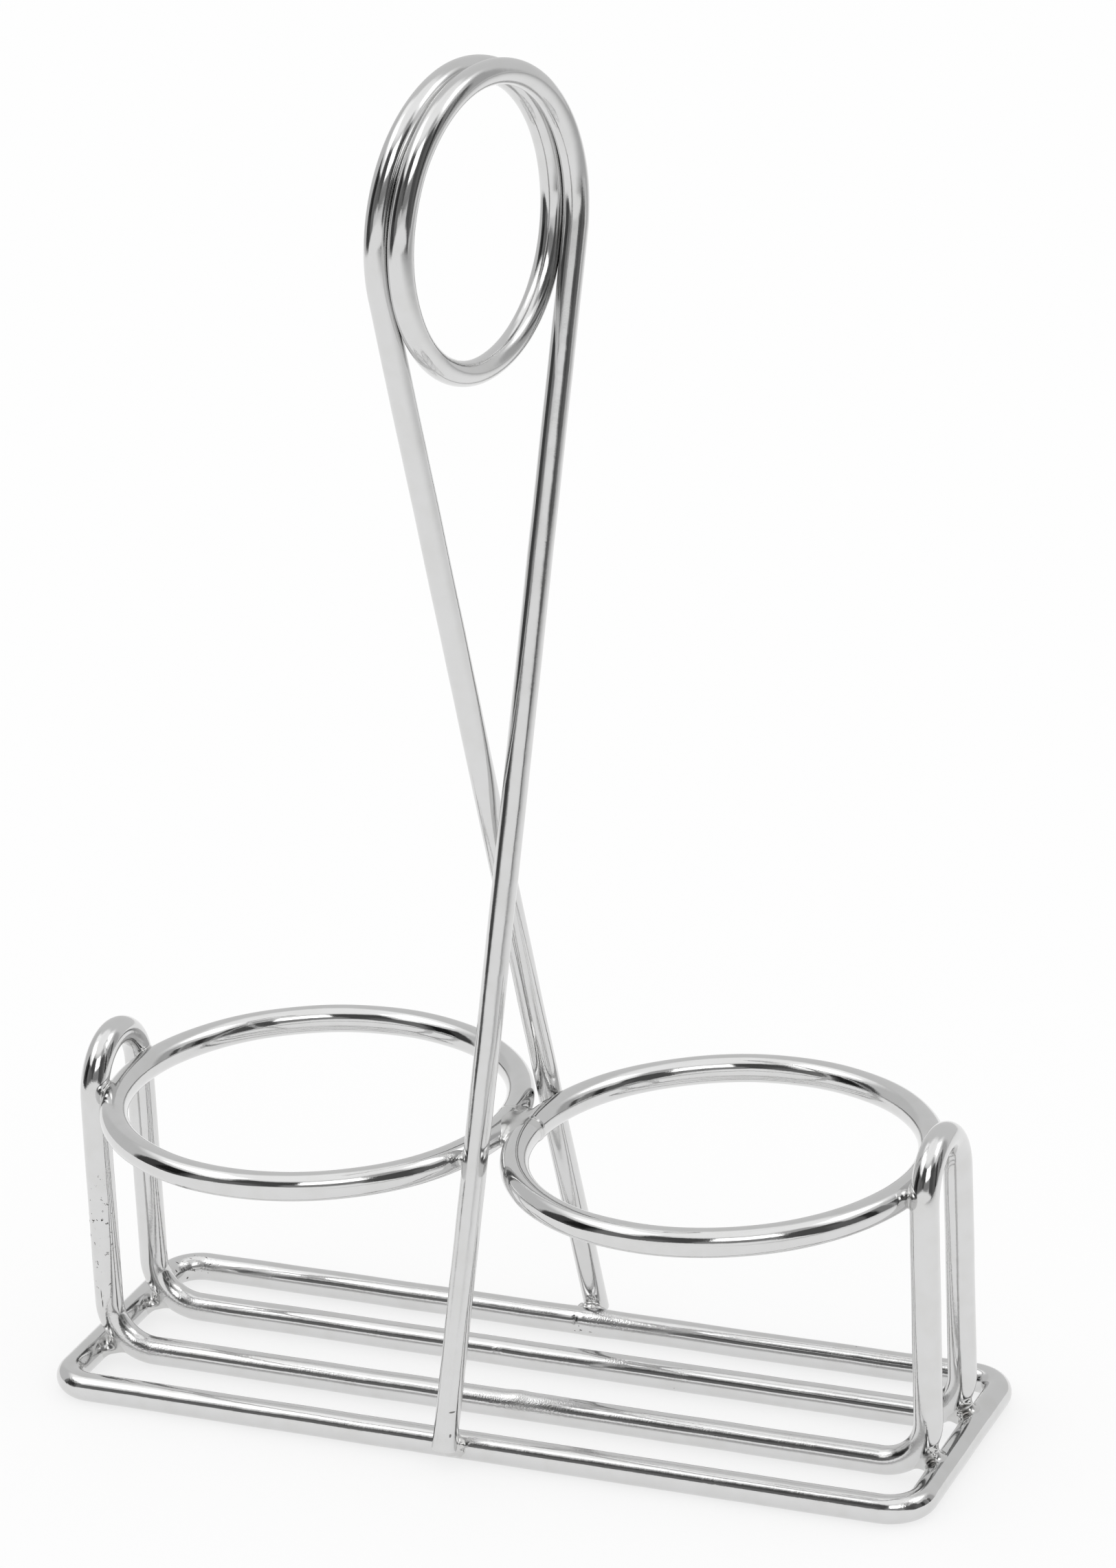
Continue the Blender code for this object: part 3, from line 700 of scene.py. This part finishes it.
def chromeMaterial(finish, plate, flaw):
    material = bpy.data.materials.new(finish["name"])
    material.use_nodes = True
    tree = material.node_tree
    shader = tree.nodes["Principled BSDF"]
    scale = addNode(tree, "ShaderNodeVectorMath", operation="SCALE")
    tree.links.new(addNode(tree, "ShaderNodeTexCoord").outputs["Object"], scale.inputs[0])
    scale.inputs["Scale"].default_value = 1 / mm
    point = scale.outputs["Vector"]
    wear = addNode(tree, "ShaderNodeGroup", node_tree=plate)
    tree.links.new(point, wear.inputs["Point"])
    for label in ("Roughness", "Ripple", "Grain", "Pits"):
        wear.inputs[label].default_value = finish[label.lower()]
    masks = {}
    for label, share in maskShares.items():
        mask = addPlaces(tree, point, flaw, finish.get(label, ()))
        masks[label] = mask and addMath(tree, "MULTIPLY", mask, share)
    for label in ("Rough Mask", "Pit Mask", "Bare Mask"):
        if masks[label]:
            tree.links.new(masks[label], wear.inputs[label])
    # Stains, dark seam lines with painted shade in the weld crevices, and bare metal lie over the plate;
    # sockets 6 and 7 of a mix are its colours
    colour = None
    layers = ((wear.outputs["Stain"], "stain"), (masks["Seam Line And Painted Shade Mask"], "bareAndShadeColour"), (wear.outputs["Bare"], "bareAndShadeColour"))
    for mask, over in layers:
        if not mask:
            continue
        mix = addNode(tree, "ShaderNodeMix", data_type="RGBA")
        tree.links.new(mask, mix.inputs["Factor"])
        if colour:
            tree.links.new(colour, mix.inputs[6])
        else:
            mix.inputs[6].default_value = finish["colour"]
        mix.inputs[7].default_value = finish[over]
        colour = mix.outputs[2]
    tree.links.new(colour, shader.inputs["Base Color"])
    tree.links.new(wear.outputs["Roughness"], shader.inputs["Roughness"])
    shader.inputs["Metallic"].default_value = 1.0
    relief = addNode(tree, "ShaderNodeBump")
    relief.inputs["Distance"].default_value = mm  # heights are in millimetres
    tree.links.new(wear.outputs["Height"], relief.inputs["Height"])
    tree.links.new(relief.outputs["Normal"], shader.inputs["Normal"])
    return material


plateNodes = plateGroup()
flawNodes = flawGroup()
chromes = {slot: chromeMaterial(finish, plateNodes, flawNodes) for slot, finish in finishes.items()}
for piece, slotName in wirePieces + [(piece, "weld_bead") for piece in weldPieces]:
    piece.data.materials.append(chromes[slotName])
print("Finishes made")


def addCamera():
    data = bpy.data.cameras.new("photoView")
    data.sensor_fit = "HORIZONTAL"
    data.sensor_width = camera["sensor"]
    data.lens = camera["lens"]
    data.shift_x, data.shift_y = camera["shift"]
    data.clip_start = camera["clipStart"]
    view = bpy.data.objects.new("photoView", data)
    turn = Matrix((camera["right"], camera["up"], camera["back"])).transposed().to_4x4()
    view.matrix_world = Matrix.Translation(Vector(camera["place"]) * mm) @ turn
    bpy.context.scene.collection.objects.link(view)
    bpy.context.scene.camera = view


# The studio round the rack. Each patch of it: azimuth from the front (degrees, right is plus), elevation,
# half width, half height, softness, brightness, and how far its ends bow down
studio = {
    "backWall": 0.72,
    "patches": {
        "ceiling": (0, 90, 180, 28, 6, 1.1, 0),
        "leftWall": (-105, 0, 22, 43, 6, 0.64, 0),
        "leftGlow": (-80, 56, 40, 14, 8, 1.22, 0),
        "leftSoftbox": (-66, 55, 27, 9.5, 3, 2.2, 0),
        "leftSoftboxCorner": (-44, 41, 7, 6, 3, 1.3, 0),
        "rightGlow": (112, 55, 32, 14, 8, 1.15, 0),
        "rightGap": (68, 52, 12, 8, 5, 0.45, 0),
        "rightSoftbox": (113, 53, 19, 9, 3, 2.2, 0),
        "rightWall": (127, 12, 8, 22, 4, 0.46, 0),
        "roomRight": (66, 15, 20, 30, 3, 0.085, 6),
        "roomRightSide": (89, 8, 15, 20, 3, 0.13, 0),
        "roomRightDoor": (97.5, 12, 4.5, 16, 1.5, 0.03, 0),
        "roomRightPost": (107, 12, 5, 18, 2, 0.24, 0),
        "roomRightShelf": (117, 10, 4, 14, 2, 0.08, 0),
        "roomLeft": (-54, 12, 28.5, 23, 2.5, 0.06, 0),
        "roomLeftDeep": (-60, 20, 7.5, 13, 1.5, 0.012, 0),
        "roomLeftPale": (-35, 18, 12, 18, 3, 0.19, 0),
        "roomMiddle": (-9, 38, 21, 18.5, 2.5, 0.075, 0),
        "roomMiddlePale": (-22, 24, 12, 9, 4, 0.15, 0),
        "roomLow": (26, 24, 22, 9, 3, 0.26, 0),
        "frontSoftbox": (32, 44.5, 19.5, 10.5, 1.5, 2.2, 0),
    },
}
patchLabels = ("Middle", "Height", "Half Width", "Half Height", "Softness", "Brightness", "Bow")


def patchGroup():
    # Lays one soft-edged patch of light over the surroundings
    group = bpy.data.node_groups.new("studioPatch", "ShaderNodeTree")
    for label in ("Behind", "Azimuth", "Elevation", *patchLabels):
        group.interface.new_socket(label, in_out="INPUT", socket_type="NodeSocketFloat")
    group.interface.new_socket("Light", in_out="OUTPUT", socket_type="NodeSocketFloat")
    given = group.nodes.new("NodeGroupInput").outputs
    masks = []
    beside = addMath(group, "ABSOLUTE", addMath(group, "SUBTRACT", given["Azimuth"], given["Middle"]))
    share = addMath(group, "DIVIDE", beside, given["Half Width"])
    drop = addMath(group, "MULTIPLY", addMath(group, "MULTIPLY", share, share), given["Bow"])
    above = addMath(group, "ADD", addMath(group, "SUBTRACT", given["Elevation"], given["Height"]), drop)
    for away, half in ((beside, "Half Width"), (addMath(group, "ABSOLUTE", above), "Half Height")):
        edge = addNode(group, "ShaderNodeMapRange", interpolation_type="SMOOTHSTEP")
        group.links.new(away, edge.inputs["Value"])
        group.links.new(addMath(group, "ADD", given[half], given["Softness"]), edge.inputs["From Min"])
        group.links.new(addMath(group, "SUBTRACT", given[half], given["Softness"]), edge.inputs["From Max"])
        masks.append(edge.outputs["Result"])
    mask = addMath(group, "MULTIPLY", *masks)
    change = addMath(group, "SUBTRACT", given["Brightness"], given["Behind"])
    light = addMath(group, "ADD", given["Behind"], addMath(group, "MULTIPLY", mask, change))
    group.links.new(light, group.nodes.new("NodeGroupOutput").inputs["Light"])
    return group


def addAzimuth(tree, split):
    # Degrees round the rack from the front, right is plus
    behind = addMath(tree, "MULTIPLY", split.outputs["Y"], -1.0)
    return addMath(tree, "DEGREES", addMath(tree, "ARCTAN2", split.outputs["X"], behind))


def addPatch(tree, group, azimuth, elevation, values):
    patch = addNode(tree, "ShaderNodeGroup", node_tree=group)
    tree.links.new(azimuth, patch.inputs["Azimuth"])
    tree.links.new(elevation, patch.inputs["Elevation"])
    for label, value in zip(patchLabels, values):
        patch.inputs[label].default_value = value
    return patch


def addWorld(group):
    world = bpy.data.worlds.new("studio")
    bpy.context.scene.world = world
    world.use_nodes = True
    tree = world.node_tree
    split = addNode(tree, "ShaderNodeSeparateXYZ")
    tree.links.new(addNode(tree, "ShaderNodeTexCoord").outputs["Generated"], split.inputs[0])
    azimuth = addAzimuth(tree, split)
    elevation = addMath(tree, "DEGREES", addMath(tree, "ARCSINE", split.outputs["Z"]))
    light = None
    for name, values in studio["patches"].items():
        patch = addPatch(tree, group, azimuth, elevation, values)
        patch.label = name
        if light is None:
            patch.inputs["Behind"].default_value = studio["backWall"]
        else:
            tree.links.new(light, patch.inputs["Behind"])
        light = patch.outputs["Light"]
    # The plating sees the studio, everything else plain white
    path = addNode(tree, "ShaderNodeLightPath")
    seen = addMath(tree, "MAXIMUM", path.outputs["Is Glossy Ray"], path.outputs["Is Transmission Ray"])
    change = addMath(tree, "SUBTRACT", light, 1.0)
    light = addMath(tree, "ADD", addMath(tree, "MULTIPLY", change, seen), 1.0)
    background = tree.nodes["Background"]
    background.inputs["Color"].default_value = (1, 1, 1, 1)
    tree.links.new(light, background.inputs["Strength"])


def stageTree(piece):
    material = bpy.data.materials.new(piece.name)
    material.use_nodes = True
    piece.data.materials.append(material)
    return material.node_tree


# A pale card stands round the front of the table, in metres and degrees; its outline is a patch as seen
# from the height of the rings. Only the plating sees it
frontCard = {"distance": 0.88, "height": 0.36, "middle": 8.0, "halfTurn": 70.0, "eyeHeight": 0.041,
             "strips": 70, "brightness": 0.98, "patch": (8, 3, 66, 14, 2.5, 1.0, 22)}


def addFrontCard(group):
    shape = bmesh.new()
    grid = bmesh.ops.create_grid(shape, x_segments=frontCard["strips"], y_segments=1, size=0.5)["verts"]
    for vert in grid:
        turn = math.radians(frontCard["middle"] + 2 * vert.co.x * frontCard["halfTurn"])
        outward = Vector((math.sin(turn), -math.cos(turn), 0)) * frontCard["distance"]
        vert.co = outward + Vector((0, 0, (vert.co.y + 0.5) * frontCard["height"]))
    card = linkShape("frontCard", shape)
    tree = stageTree(card)
    split = addNode(tree, "ShaderNodeSeparateXYZ")
    tree.links.new(addNode(tree, "ShaderNodeTexCoord").outputs["Object"], split.inputs[0])
    rise = addMath(tree, "SUBTRACT", split.outputs["Z"], frontCard["eyeHeight"])
    elevation = addMath(tree, "DEGREES", addMath(tree, "ARCTAN2", rise, frontCard["distance"]))
    patch = addPatch(tree, group, addAzimuth(tree, split), elevation, frontCard["patch"])
    path = addNode(tree, "ShaderNodeLightPath")
    glow = addNode(tree, "ShaderNodeEmission")
    glow.inputs["Strength"].default_value = frontCard["brightness"]
    mix = addNode(tree, "ShaderNodeMixShader")
    shown = addMath(tree, "MULTIPLY", patch.outputs["Light"], path.outputs["Is Glossy Ray"])
    tree.links.new(shown, mix.inputs[0])
    tree.links.new(addNode(tree, "ShaderNodeBsdfTransparent").outputs[0], mix.inputs[1])
    tree.links.new(glow.outputs[0], mix.inputs[2])
    tree.links.new(mix.outputs[0], tree.nodes["Material Output"].inputs["Surface"])
    tree.nodes.remove(tree.nodes["Principled BSDF"])


floorSizes = {"left": -0.7, "right": 0.62, "front": -1.0, "back": 3.0, "colour": 0.97, "whiteShare": 0.7,
              "fadeStart": 0.12, "fadeEnd": 0.6, "fadedLight": 0.25}


def addFloor():
    shape = bmesh.new()
    bmesh.ops.create_grid(shape, x_segments=1, y_segments=1, size=0.5)
    width = floorSizes["right"] - floorSizes["left"]
    depth = floorSizes["back"] - floorSizes["front"]
    centre = ((floorSizes["left"] + floorSizes["right"]) / 2,
              (floorSizes["front"] + floorSizes["back"]) / 2, 0)
    bmesh.ops.scale(shape, vec=(width, depth, 1), verts=shape.verts)
    bmesh.ops.translate(shape, vec=centre, verts=shape.verts)
    floor = linkShape("paleFloor", shape)
    tree = stageTree(floor)
    shader = tree.nodes["Principled BSDF"]
    shade = floorSizes["colour"]
    shader.inputs["Base Color"].default_value = (shade, shade, shade, 1)
    shader.inputs["Roughness"].default_value = 1.0
    shader.inputs["Specular IOR Level"].default_value = 0.0
    # Seen in the plating, the table gets darker to the right
    across = addNode(tree, "ShaderNodeSeparateXYZ")
    tree.links.new(addNode(tree, "ShaderNodeTexCoord").outputs["Object"], across.inputs[0])
    fade = addNode(tree, "ShaderNodeMapRange", interpolation_type="SMOOTHSTEP")
    tree.links.new(across.outputs["X"], fade.inputs["Value"])
    for label, value in (("From Min", floorSizes["fadeStart"]), ("From Max", floorSizes["fadeEnd"]),
                         ("To Min", 1.0), ("To Max", floorSizes["fadedLight"])):
        fade.inputs[label].default_value = value
    # White to the camera and in the plating, and it keeps a share of the rack's shadow
    white = addNode(tree, "ShaderNodeEmission")
    path = addNode(tree, "ShaderNodeLightPath")
    mix = addNode(tree, "ShaderNodeMixShader")
    strength = addMath(tree, "MAXIMUM", fade.outputs["Result"], path.outputs["Is Camera Ray"])
    tree.links.new(strength, white.inputs["Strength"])
    mirrored = addMath(tree, "MAXIMUM", path.outputs["Is Glossy Ray"], path.outputs["Is Transmission Ray"])
    seen = addMath(tree, "MAXIMUM", path.outputs["Is Camera Ray"], mirrored)
    tree.links.new(addMath(tree, "MULTIPLY", seen, floorSizes["whiteShare"]), mix.inputs[0])
    tree.links.new(shader.outputs[0], mix.inputs[1])
    tree.links.new(white.outputs[0], mix.inputs[2])
    tree.links.new(mix.outputs[0], tree.nodes["Material Output"].inputs["Surface"])


addCamera()
addFloor()
patchNodes = patchGroup()
addFrontCard(patchNodes)
addWorld(patchNodes)
bpy.context.scene.view_settings.view_transform = "Standard"
print("Stage set")
